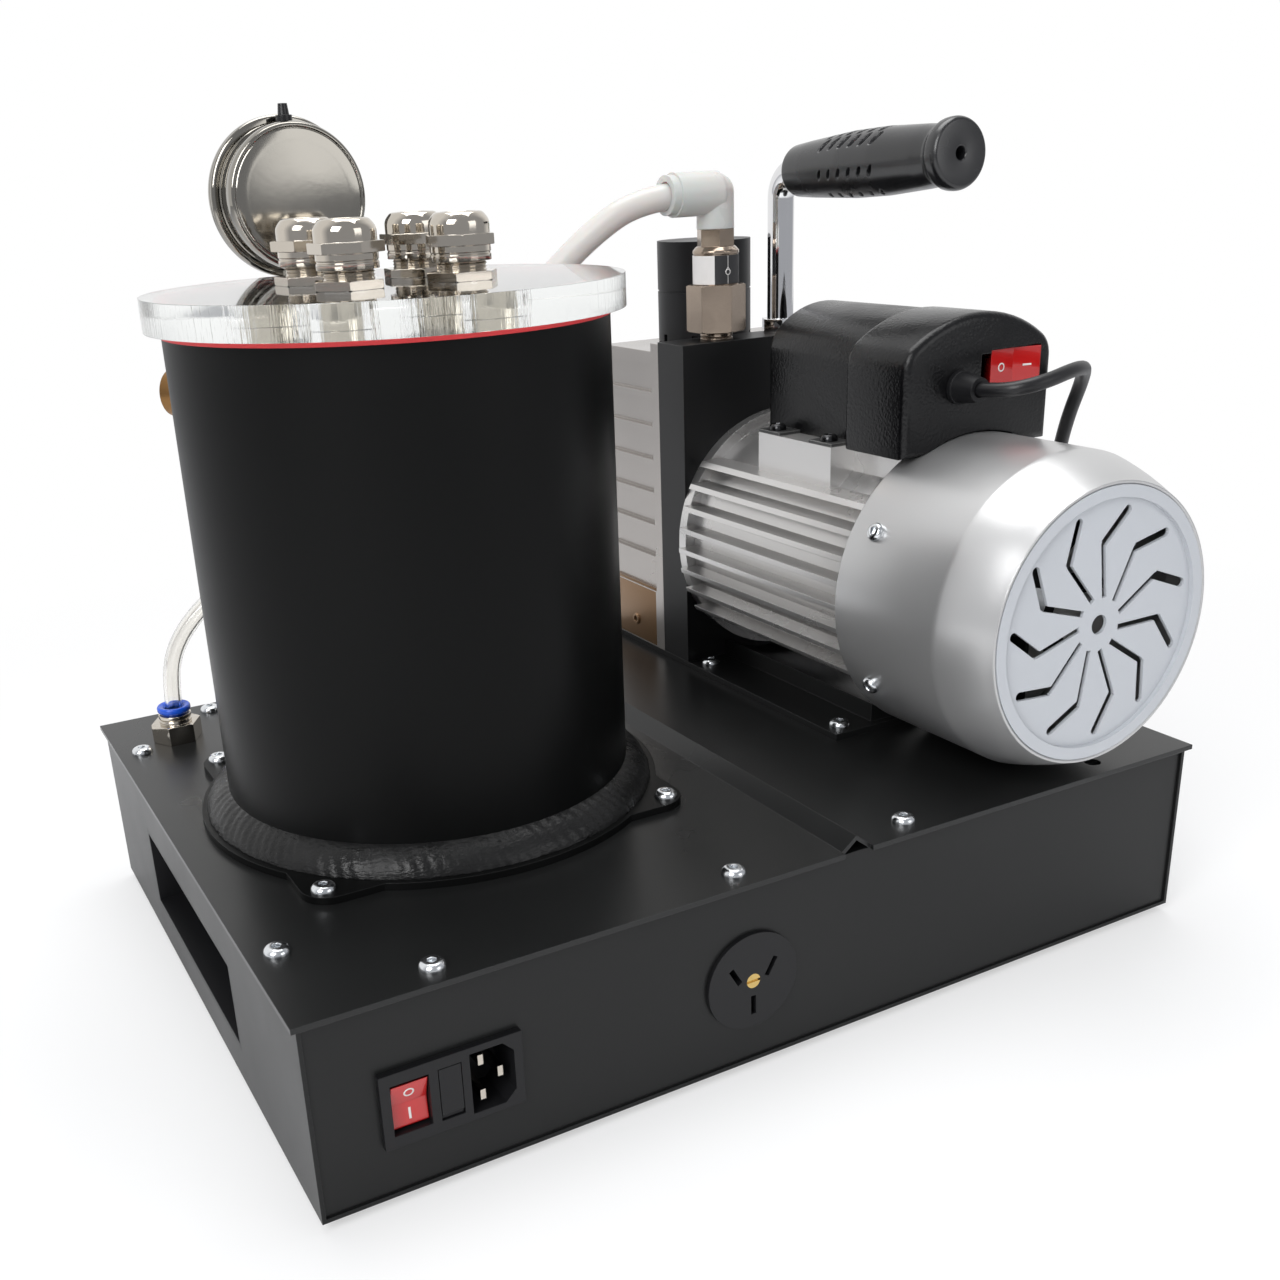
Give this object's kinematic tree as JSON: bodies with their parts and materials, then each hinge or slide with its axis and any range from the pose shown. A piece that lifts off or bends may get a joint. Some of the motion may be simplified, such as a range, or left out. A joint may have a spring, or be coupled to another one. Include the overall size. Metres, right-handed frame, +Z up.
{
  "type": "vacuum casting machine",
  "caption": "Bench vacuum casting machine: sheet-metal base with a round vacuum chamber under a clear lid, a dial gauge and a rotary vane pump with handle",
  "frame": {"origin": "on the surface the rubber feet stand on, under the middle of the bounding box without the hose, the tube and the cable", "axes": "+Z up, -Y is the front with the inlet, the outlet and the fan grille, +X is the side of the pump"},
  "size_m": [0.4393, 0.3116, 0.3569],
  "materials": {
    "black_paint": "satin",
    "chamber_black": "satin",
    "steel": "satin",
    "nickel": "polished",
    "aluminium": "satin",
    "acrylic": "polished",
    "lens_glass": "polished",
    "red_gasket": "matte",
    "rubber": "matte",
    "black_plastic": "matte",
    "box_plastic": "textured",
    "red_rocker": "gloss",
    "blue_plastic": "gloss",
    "milky_plastic": "satin",
    "clear_plastic": "gloss",
    "white_plastic": "satin",
    "dial_white": "matte",
    "brass": "satin",
    "copper": "satin",
    "cast_iron": "machined"
  },
  "bodies": {
    "machine": {"base_shell": "black_paint", "front_panel": "black_paint", "top_plate": "black_paint", "top_screws": "steel", "rubber_feet": "rubber", "handle_cups": "black_plastic", "inlet_body": "black_plastic", "inlet_pins": "nickel", "outlet_body": "black_plastic", "outlet_contacts": "brass", "outlet_screw": "brass", "chamber_body": "chamber_black", "chamber_flange": "chamber_black", "flange_screws": "steel", "lid_gasket": "red_gasket", "gauge_case": "nickel", "gauge_bezel": "nickel", "gauge_lens": "lens_glass", "gauge_dial": "dial_white", "gauge_plug": "rubber", "manifold": "nickel", "tube_fitting": "nickel", "pump_foot": "black_paint", "foot_screws": "steel", "pump_block": "cast_iron", "oil_tank": "aluminium", "motor_shell": "aluminium", "stator_core": "copper", "fan_cover": "aluminium", "fan_grille": "white_plastic", "cover_screws": "steel", "terminal_box": "box_plastic", "box_tabs": "black_plastic", "tab_screws": "steel", "strain_relief": "black_plastic", "handle_tube": "nickel", "handle_grip": "rubber", "check_valve": "nickel", "hose_elbow": "milky_plastic", "cable_grommet": "rubber", "vacuum_hose": "milky_plastic", "clear_tube": "clear_plastic", "pump_cable": "rubber"},
    "lid": {"lid": "acrylic", "gland_bodies": "nickel"},
    "gland_nut_1": {"gland_nut_1": "nickel"},
    "gland_nut_2": {"gland_nut_2": "nickel"},
    "gland_nut_3": {"gland_nut_3": "nickel"},
    "gland_nut_4": {"gland_nut_4": "nickel"},
    "pointer": {"gauge_pointer": "black_plastic"},
    "inlet_rocker": {"inlet_rocker": "red_rocker"},
    "pump_rocker": {"pump_rocker": "red_rocker"},
    "fuse_drawer": {"fuse_drawer": "black_plastic", "fuses": "lens_glass"},
    "rotor": {"motor_rotor": "steel", "cooling_fan": "black_plastic"},
    "valve_poppet": {"valve_poppet": "brass"},
    "tube_collar": {"tube_collar": "blue_plastic"},
    "vent_knob": {"vent_knob": "nickel"},
    "exhaust_cap": {"exhaust_cap": "black_plastic"}
  },
  "joints": [
    {"name": "lid_lift", "type": "slide", "parent": "machine", "child": "lid", "axis": [0, 0, 1], "range_m": [0, 0.15]},
    {"name": "gland_nut_1_turn", "type": "hinge", "parent": "lid", "child": "gland_nut_1", "pos_m": [-0.1155, -0.02495, 0.2959], "axis": [0, 0, 1], "range_deg": [0, 360]},
    {"name": "gland_nut_2_turn", "type": "hinge", "parent": "lid", "child": "gland_nut_2", "pos_m": [-0.1155, 0.01905, 0.2959], "axis": [0, 0, 1], "range_deg": [0, 360]},
    {"name": "gland_nut_3_turn", "type": "hinge", "parent": "lid", "child": "gland_nut_3", "pos_m": [-0.0715, -0.02495, 0.2959], "axis": [0, 0, 1], "range_deg": [0, 360]},
    {"name": "gland_nut_4_turn", "type": "hinge", "parent": "lid", "child": "gland_nut_4", "pos_m": [-0.0715, 0.01905, 0.2959], "axis": [0, 0, 1], "range_deg": [0, 360]},
    {"name": "gauge_pointer_turn", "type": "hinge", "parent": "machine", "child": "pointer", "pos_m": [-0.0935, 0.10775, 0.32], "axis": [0, 1, 0], "range_deg": [0, 270], "stiffness_Nm_per_rad": 0.0002},
    {"name": "inlet_rocker_tilt", "type": "hinge", "parent": "machine", "child": "inlet_rocker", "pos_m": [-0.1675, -0.14975, 0.039], "axis": [1, 0, 0], "range_deg": [-13, 0]},
    {"name": "pump_rocker_tilt", "type": "hinge", "parent": "machine", "child": "pump_rocker", "pos_m": [0.1535, -0.07775, 0.2405], "axis": [0, 0, 1], "range_deg": [0, 10]},
    {"name": "fuse_drawer_slide", "type": "slide", "parent": "machine", "child": "fuse_drawer", "axis": [0, -1, 0], "range_m": [0, 0.02]},
    {"name": "rotor_spin", "type": "hinge", "parent": "machine", "child": "rotor", "pos_m": [0.1345, 0, 0.149], "axis": [0, 1, 0], "continuous": true},
    {"name": "valve_poppet_lift", "type": "slide", "parent": "machine", "child": "valve_poppet", "axis": [0, 0, 1], "range_m": [0, 0.003], "stiffness_N_per_m": 5},
    {"name": "tube_collar_press", "type": "slide", "parent": "machine", "child": "tube_collar", "axis": [0, 0, -1], "range_m": [0, 0.0008], "stiffness_N_per_m": 200},
    {"name": "vent_knob_turn", "type": "hinge", "parent": "machine", "child": "vent_knob", "pos_m": [-0.15045, 0.06492, 0.247], "axis": [-0.6428, 0.766, 0], "range_deg": [0, 180]},
    {"name": "exhaust_cap_lift", "type": "slide", "parent": "machine", "child": "exhaust_cap", "axis": [0, 0, 1], "range_m": [0, 0.04]}
  ]
}
